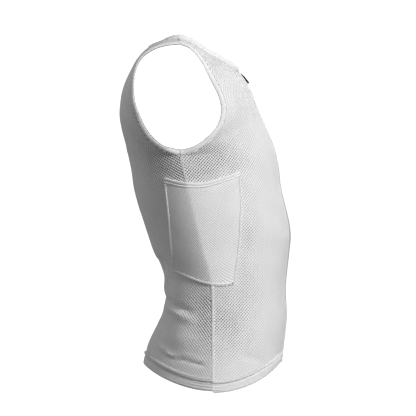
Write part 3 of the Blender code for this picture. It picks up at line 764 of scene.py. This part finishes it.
# --- Hem -------------------------------
# The lower edge of each panel is turned up inside and sewn down with three rows of stitches, two of them
# close together along a raised line at its top. A bar of seam thread covers the join at each side.
HEM_BACK_HEIGHT, HEM_FRONT_HEIGHT, HEM_JOIN_LONG = 23.0, 20.0, 17.5
HEM_STITCH = Stitch(2.2, 0.6, 0.4)


def hem_outlines(height, bead, ends):
    """The hem's outline at each place: a bead of cloth at its top, a groove, and the flat band. Near the
    side seams, where ends is 1, the layers ruck up."""
    across = np.concatenate([[0.3], np.linspace(0.9, height - 0.3, 30), [height]])
    groove = bead + 0.9
    bead_at = [0, 0.5, bead * 0.35, bead * 0.75, bead, groove]
    raised = np.interp(across, bead_at, [0.4, 1.7, 2.7, 2.4, 1.2, -1.3])
    band_at = [groove, bead + 2.4, bead + 6, height - 2, height]
    level = np.interp(across, band_at, [-1.1, 0.3, 0.9, 0.7, -0.7])
    up = np.where(across > groove, level, raised)
    rucks = 0.55 * np.sin(across * 2 * math.pi / 4.6) * np.clip((height - across) / 3, 0, 1)
    face = up + ends[:, None] * rucks
    under = np.array([(height - 0.3, -1.5), (height - 1.5, -2.1), (9.0, -2.1), (0.3, -2.0)])
    front = np.stack([np.broadcast_to(across, face.shape), face], -1)
    return np.concatenate([front, np.broadcast_to(under, (len(ends),) + under.shape)], 1)


hem_knit = knit("hem_cloth", 0.92, 1.1, 0.2)
bottom = HEM_SEAM_Z - AXIS_Z
below = np.array([0.0, -60.0, -5000.0])
HEMS = (("front_right", True, (-1,)), ("front_left", True, (1,)), ("back", False, (-1, 1)))
for name, front, sides in HEMS:
    start = turn_at(front, bottom, ZIP_HALF if front else 0.0)
    turns = np.linspace(start, math.pi / 2, 120)
    parts = [cloth_point(front, np.full(120, bottom), turns, side) for side in sides]
    if front:
        line, way = parts[0]
    else:
        line = np.vstack([parts[0][0][:0:-1], parts[1][0]])
        way = np.vstack([parts[0][1][:0:-1], parts[1][1]])
    for end in (0, -1):
        if abs(line[end, 0]) > 100:
            line[end, 1] += -SEAM_GAP / 2 if front else SEAM_GAP / 2
    line, way, at = even(line, way, 2.4)
    along = tangents(line)
    across = toward(line, way, along, below)
    if front:
        across[0] = unit(across[0] * [0, 1, 1])
    height = HEM_FRONT_HEIGHT if front else HEM_BACK_HEIGHT
    from_side = at[-1] - at if front else np.minimum(at, at[-1] - at)
    ends = np.exp(-((from_side / (14 if front else 38)) ** 2))
    outlines = hem_outlines(height, 4.2 if front else 6.5, ends)
    band = sweep("hem_" + name + "_cloth", line, across, way, outlines, hem_knit, distance=at)
    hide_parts("hem_band_" + name)
    rows = [(line + across * k + way * rise) for k, rise in ((1.4, 2.2), (2.8, 2.1), (9.4, 0.5))]
    along, way = np.vstack([along] * 3), np.vstack([way] * 3)
    stitches("hem_stitches_" + name, np.vstack(rows), along, way, HEM_STITCH, white_thread)


for side, name in SIDES:
    rows = np.linspace(bottom + 3, bottom, 6)
    line, way = cloth_point(True, rows, np.full(6, math.pi / 2), side)
    last = line[-1:] + unit(line[-1:] - line[-2:-1]) * HEM_JOIN_LONG
    line, way = np.vstack([line, last]), np.vstack([way, way[-1:]])
    line, way, _ = even(line, way, 2.0)
    ahead = tangents(line)
    join = [(-1.3, -1.2), (-1.2, 0.9), (-0.5, 1.5), (0.5, 1.5), (1.2, 0.9), (1.3, -1.2)]
    sweep("hem_join_" + name, line, unit(np.cross(way, ahead)), way, join, seam_knit)


# --- Pockets ---------------------------
# A patch pocket of a finer, slightly sheer mesh over each side seam, sewn down along its sides and
# bottom and open at its dipped top, which is edged with a folded strip. A bartack of grey thread holds
# its lower front corner.
POCKET_GAP, POCKET_CLOTH = 1.0, 1.2
POCKET_TOP_STITCH, BARTACK_STITCH = Stitch(1.8, 0.5, 2.2), Stitch(2.6, 0.7, 3.6)
POCKET_EDGE_STITCH = Stitch(1.9, 0.55, POCKET_GAP + POCKET_CLOTH + 1.2)
PocketSide = namedtuple("PocketSide", "down back_y front_y")
POCKET_SIDES = (
    PocketSide(0.0, 21.6, -112.2),
    PocketSide(0.3, 16.5, -113.8),
    PocketSide(0.65, 11.5, -110.2),
    PocketSide(1.0, 6.4, -102.1),
)
PocketEdge = namedtuple("PocketEdge", "along top_z bottom_z")
POCKET_EDGES = (
    PocketEdge(0.0, -261.7, -417.7),
    PocketEdge(0.25, -269.8, -430.4),
    PocketEdge(0.5, -270.8, -440.5),
    PocketEdge(0.75, -262.7, -443.6),
    PocketEdge(1.0, -251.0, -441.5),
)


def side_point(y, z, side):
    """The cloth's outer face and way out where it is seen at a place from the side."""
    seam = smooth(LEVELS, z, "seam")
    point, way = np.zeros(y.shape + (3,)), np.zeros(y.shape + (3,))
    for front in (True, False):
        depth = smooth(LEVELS, z, "front" if front else "back") - seam
        share = np.clip((y - seam) / depth, 0.0, 1.0)
        place, out = cloth_point(front, z - AXIS_Z, np.arccos(share ** (DEPTH_POWER / 2)), side)
        here = (y < seam) if front else (y >= seam)
        point[here], way[here] = place[here], out[here]
    return point, way


def pocket_spot(along, down):
    """(y, z) of a place on the pocket: along from its back edge forward, down from its top edge."""
    top, bottom = smooth(POCKET_EDGES, along, "top_z"), smooth(POCKET_EDGES, along, "bottom_z")
    back_y, front_y = smooth(POCKET_SIDES, down, "back_y"), smooth(POCKET_SIDES, down, "front_y")
    return back_y + (front_y - back_y) * along, top + (bottom - top) * down


def pocket_place(side, along, down):
    return side_point(*pocket_spot(along, down), side)


def ridge_along(down):
    """How far along the pocket the side seam's ridge passes under it."""
    low, high = np.zeros_like(down), np.ones_like(down)
    for _ in range(20):
        along = (low + high) / 2
        y, z = pocket_spot(along, down)
        behind = y > smooth(LEVELS, z, "seam")
        low, high = np.where(behind, along, low), np.where(behind, high, along)
    return along


pocket_mesh = eyelet_mesh("fine_pocket_mesh", 4.6, 0.93, 0.35, 0.35)
pocket_binding_knit = knit("pocket_binding_knit", 0.95, 1.3, 0.2)
for side, name in SIDES:
    down = np.repeat(np.linspace(0, 1, 67)[:, None], 61, 1)
    ridge, share = ridge_along(down), np.linspace(0, 1, 61)
    along = np.where(share < 0.4, ridge * share / 0.4, ridge + (1 - ridge) * (share - 0.4) / 0.6)
    point, way = pocket_place(side, along, down)
    point[0, :, 2] -= SEAM_GAP
    point -= way * (0.7 * np.exp(-((down * 170 / 3.0) ** 2)))[..., None]
    index = grid_index(point)
    widths = np.linalg.norm(np.diff(point, axis=1), axis=-1)
    drops = np.linalg.norm(np.diff(point, axis=0), axis=-1)
    from_back = np.concatenate([np.zeros((67, 1)), np.cumsum(widths, 1)], 1)
    from_top = np.concatenate([np.zeros((1, 61)), -np.cumsum(drops, 0)], 0)
    flat = np.stack([from_back, from_top], -1)
    cells = quads(index) if side < 0 else quads(index)[:, ::-1]
    outer = POCKET_GAP + POCKET_CLOTH
    pocket = shell(
        "pocket_cloth_" + name, point, way, cells, POCKET_GAP, outer, flat, pocket_mesh
    )
    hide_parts("pocket_" + name)
    share = np.linspace(0, 1, 90)
    edge, out = pocket_place(side, share, np.zeros(90))
    edge, out, at = even(edge, out, 2.2)
    ahead = tangents(edge)
    upward = toward(edge, out, ahead, np.array([side * 170.0, -45.0, 900.0]))
    strip = [(-0.4, 1.2), (0.3, 2.9), (1.2, 3.6), (2.4, 3.3), (3.3, 2.2), (4.4, 2.5), (5.6, 3.6)]
    strip += [(8.2, 3.6), (9.3, 2.6), (9.5, 1.9), (9.2, 1.2), (8.2, 0.85), (4.0, 0.85), (0.4, 0.9)]
    top_binding = sweep(
        "pocket_binding_cloth_" + name, edge, upward, out, strip, pocket_binding_knit, distance=at
    )
    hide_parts("pocket_binding_" + name)
    row = edge + upward * 3.4
    stitches("pocket_binding_stitches_" + name, row, ahead, out, POCKET_TOP_STITCH, white_thread)
    border = [
        pocket_place(side, np.full(80, 0.012), np.linspace(0.01, 0.985, 80)),
        pocket_place(side, np.linspace(0.012, 0.988, 80), np.full(80, 0.985)),
        pocket_place(side, np.full(80, 0.988), np.linspace(0.985, 0.01, 80)),
    ]
    edges = [even(*part, 2.4) for part in border]
    for word, (edge, out, at) in zip(("back", "bottom", "front"), edges):
        sideways = unit(np.cross(out, tangents(edge)))
        welt = [(-1.8, 1.2), (-1.7, 2.7), (-0.9, 3.4), (0.9, 3.4), (1.7, 2.7), (1.8, 1.2)]
        edge_name = "pocket_edge_%s_%s" % (word, name)
        sweep(edge_name, edge, sideways, out, welt, pocket_binding_knit, distance=at)
    corner, out = pocket_place(side, np.array([0.955]), np.array([0.985]))
    stitches(
        "pocket_bartack_" + name,
        corner + np.array([[0.0, 0.5 * k, 0.25 * k] for k in range(-3, 4)]),
        np.tile(unit(np.array([[0.0, 0.4, -1.0]])), (7, 1)),
        np.repeat(out, 7, 0),
        BARTACK_STITCH,
        grey_thread,
    )
    row, out = np.vstack([e[0] for e in edges]), np.vstack([e[1] for e in edges])
    ahead = np.vstack([tangents(e[0]) for e in edges])
    stitches("pocket_edge_stitches_" + name, row, ahead, out, POCKET_EDGE_STITCH, white_thread)


# --- Zip -------------------------------
# A coil zip between the fronts: two woven tapes, and a row of moulded coil turns that stand a little
# proud. The fronts' edges are folded back and topstitched beside it.
Rise = namedtuple("Rise", "z up")
ZIP_RISE = (
    Rise(-50, -0.8),
    Rise(-213, 1.4),
    Rise(-290, 2.2),
    Rise(-357, 3.4),
    Rise(-430, 2.2),
    Rise(-480, 1.6),
    Rise(-590, 1.2),
)
TAPE_INNER, TAPE_THICK = 1.7, 1.2
COIL_TURN, EDGE_STITCH = Stitch(2.6, 1.15, 0.9), Stitch(2.3, 0.5, 0.75)
SLIDER_DOWN, SLIDER_LONG = 3.8, 9.5


def zip_line(x=0.0):
    """Down the middle of the front, or down a front's edge, from the neckline to the hem seam."""
    first = neck_edge(True, math.asin(ZIP_HALF / NECK_HALF_WIDTH))[0]
    rows = np.concatenate([np.linspace(first, 0, 120), np.linspace(0, bottom, 160)[1:]])
    return cloth_point(True, rows, turn_at(True, rows, x), 1)


def longer(line, way, before, after):
    """The line with both ends carried on straight."""
    first = line[0] + unit(line[0] - line[1]) * before
    last = line[-1] + unit(line[-1] - line[-2]) * after
    return np.vstack([first, line, last]), np.vstack([way[0], way, way[-1]])


def woven_tape(name, tone):
    """Closely woven tape with fine lengthwise ribs."""
    made = Finish(name, (tone,) * 3, 0.7)
    parts = made.add("SeparateXYZ", {0: made.place})
    warp, weft = made.wave(parts.outputs[1], 0.7), made.wave(parts.outputs[0], 0.6)
    made.relief(made.math("ADD", made.math("MULTIPLY", warp, weft), made.noise(0.5)), 0.2)
    made.set("Base Color", made.blend(made.noise(6, 3), grey(tone * 0.93), grey(tone * 1.03)))
    made.amount("Specular IOR Level", 0.3)
    return made.material


tape_weave = woven_tape("pale_zip_tape", 0.62)
coil_plastic = thread("zip_coil", 0.6)
fold_knit = knit("front_edge_fold", 0.9, 0.9, 0.2)
line, way = longer(*zip_line(), NECK_BINDING_WIDTH, HEM_FRONT_HEIGHT)
line, way, at = even(line, way, 3.0)
up = smooth(ZIP_RISE, line[:, 2], "up")
for side, name in SIDES:
    across = np.tile([float(side), 0, 0], (len(line), 1))
    low, out_edge = np.zeros_like(up), ZIP_HALF - SEAM_GAP
    shape = [(TAPE_INNER, up - TAPE_THICK), (TAPE_INNER, up - 0.1), (2.2, up + 0.15)]
    shape += [(3.4, up * 0.8 + 0.1), (5.0, up * 0.45 + 0.05), (out_edge, low), (out_edge, low - TAPE_THICK)]
    outlines = np.stack([np.stack([np.full_like(up, a), u], -1) for a, u in shape], 1)
    tape = sweep("zip_tape_cloth_" + name, line, across, way, outlines, tape_weave, distance=at)
    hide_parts("zip_tape_" + name)
teeth_line, teeth_way, _ = even(line, way, 0.85)
top_z = zip_line()[0][0, 2]
shown = teeth_line[:, 2] < top_z - SLIDER_DOWN - SLIDER_LONG / 2
teeth_line, teeth_way = teeth_line[shown], teeth_way[shown]
turn = np.where(np.arange(len(teeth_line)) % 2 == 0, 1.0, -1.0)[:, None]
teeth_up = smooth(ZIP_RISE, teeth_line[:, 2], "up")[:, None]
place = teeth_line + np.array([0.35, 0, 0]) * turn + teeth_way * (teeth_up - 0.9)
sideways = np.tile([1.0, 0, 0], (len(teeth_line), 1))
coil = stitches("zip_coil", place, sideways, teeth_way, COIL_TURN, coil_plastic)
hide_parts("zip_teeth")
for side, name in SIDES:
    edge, out = zip_line(ZIP_HALF)
    edge, out = edge * [side, 1, 1], out * [side, 1, 1]
    edge, out, at = even(edge, out, 3.0)
    ahead = tangents(edge)
    aside = np.tile([float(side), 0, 0], (len(edge), 1))
    aside = unit(aside - out * np.einsum("ij,ij->i", aside, out)[:, None])
    lip = [(0.1, -0.4), (0.1, 0.7), (0.7, 1.0), (2.6, 0.85), (3.3, 0.5), (4.2, 0.75), (5.4, 0.65)]
    lip += [(6.0, -0.3)]
    sweep("front_edge_fold_" + name, edge, aside, out, lip, fold_knit, distance=at)
    row = edge + aside * 3.3
    stitches("front_edge_stitches_" + name, row, ahead, out, EDGE_STITCH, white_thread)


# --- Slider and pull tab ---------------
# Moulded black plastic: the slider at the top of the zip, and its tab, whose pin turns under the bail.
# Both show the shapes that they are packed with, and only their finish is given here.
def moulded_black(name, size):
    made = Finish(name, (0.012, 0.012, 0.013), 0.4)
    object_place = made.add("TexCoord").outputs["Object"]
    scaled = made.add("Mapping", {"Vector": object_place, "Scale": [1000 / size] * 3})
    grain = made.add("TexNoise", {"Vector": scaled.outputs[0], "Scale": 1.0, "Detail": 3.0}).outputs["Fac"]
    made.set("Base Color", made.blend(grain, grey(0.008), grey(0.018)))
    made.set("Roughness", made.step(grain, -0.5, 2.0))
    made.relief(grain, 0.05)
    made.amount("Specular IOR Level", 0.45)
    return made.material


black_plastic = moulded_black("moulded_black", 0.8)
for node in ("zip_slider", "zip_pull_tab"):
    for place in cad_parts[node].material_slots:
        place.material = black_plastic


# --- Floor, light and camera -----------
# A white floor and backdrop that glow a little, a large soft light at the front right, and weak ones
# behind, on the left and above. The camera is far off with a long lens, as the photo's flat view asks.
def glowing(name, strength):
    made = Finish(name, (0.9, 0.9, 0.9), 0.9)
    made.amount("Emission Color", (1, 1, 1, 1))
    made.amount("Emission Strength", strength)
    return made.material


def setting(name, places, faces, material):
    """A part of the room, which lights nothing and isn't mirrored."""
    mesh = bpy.data.meshes.new(name)
    mesh.from_pydata(places, [], faces)
    mesh.materials.append(material)
    made = in_scene(name, mesh)
    made.visible_diffuse = False
    made.visible_glossy = False
    return made


FLOOR_Z, FLOOR_RADIUS, BACKDROP_RADIUS = -0.9, 1.5, 45
turns = np.linspace(0, 2 * math.pi, 97)[:-1]
disc = [(FLOOR_RADIUS * math.cos(t), FLOOR_RADIUS * math.sin(t), FLOOR_Z) for t in turns]
setting("floor", disc, [list(range(96))], glowing("pale_floor", 0.5))

around, above = np.meshgrid(np.linspace(0, 2 * math.pi, 49)[:-1], np.linspace(-1.5, 1.5, 25))
level = np.cos(above)
spots = np.stack([level * np.cos(around), level * np.sin(around), np.sin(above)], -1) * BACKDROP_RADIUS
index = grid_index(spots)
index = np.concatenate([index, index[:, :1]], 1)
ends = [index[0, :48].tolist(), index[-1, :48][::-1].tolist()]
faces = quads(index).tolist() + ends
backdrop = setting("backdrop", spots.reshape(-1, 3).tolist(), faces, glowing("white_backdrop", 1.0))
backdrop.visible_transmission = False
backdrop.visible_shadow = False

world = bpy.data.worlds.new("pale_room")
bpy.context.scene.world = world
world.use_nodes = True
world.node_tree.nodes["Background"].inputs["Color"].default_value = (1, 1, 1, 1)
world.node_tree.nodes["Background"].inputs["Strength"].default_value = 0.2

AIM = Vector((0.0, -0.055, -0.308))
Lamp = namedtuple("Lamp", "name place size energy")
LAMPS = (
    Lamp("key", (-2.2, -2.21, 0.95), 1.2, 84),
    Lamp("back_fill", (1.6, 2.7, 0.8), 2.0, 14),
    Lamp("left_fill", (2.8, -1.2, 0.6), 2.0, 22),
    Lamp("top_fill", (-0.6, 0.1, 2.6), 2.0, 16),
)
for lamp in LAMPS:
    light = bpy.data.lights.new(lamp.name, "AREA")
    light.energy, light.size = lamp.energy, lamp.size
    holder = in_scene(lamp.name, light)
    holder.location = lamp.place
    holder.rotation_euler = (AIM - holder.location).to_track_quat("-Z", "Y").to_euler()
    holder.visible_camera = False

DISTANCE, RISE = 30.0, math.radians(0.373)
camera_data = bpy.data.cameras.new("camera")
camera_data.sensor_width = 36.0
camera_data.lens = 1458.4
camera_data.clip_end = 100.0
camera = in_scene("camera", camera_data)
camera.location = AIM + Vector((-math.cos(RISE), 0.0, math.sin(RISE))) * DISTANCE
camera.rotation_euler = (AIM - camera.location).to_track_quat("-Z", "Y").to_euler()
bpy.context.scene.camera = camera
bpy.context.scene.view_settings.view_transform = "Standard"
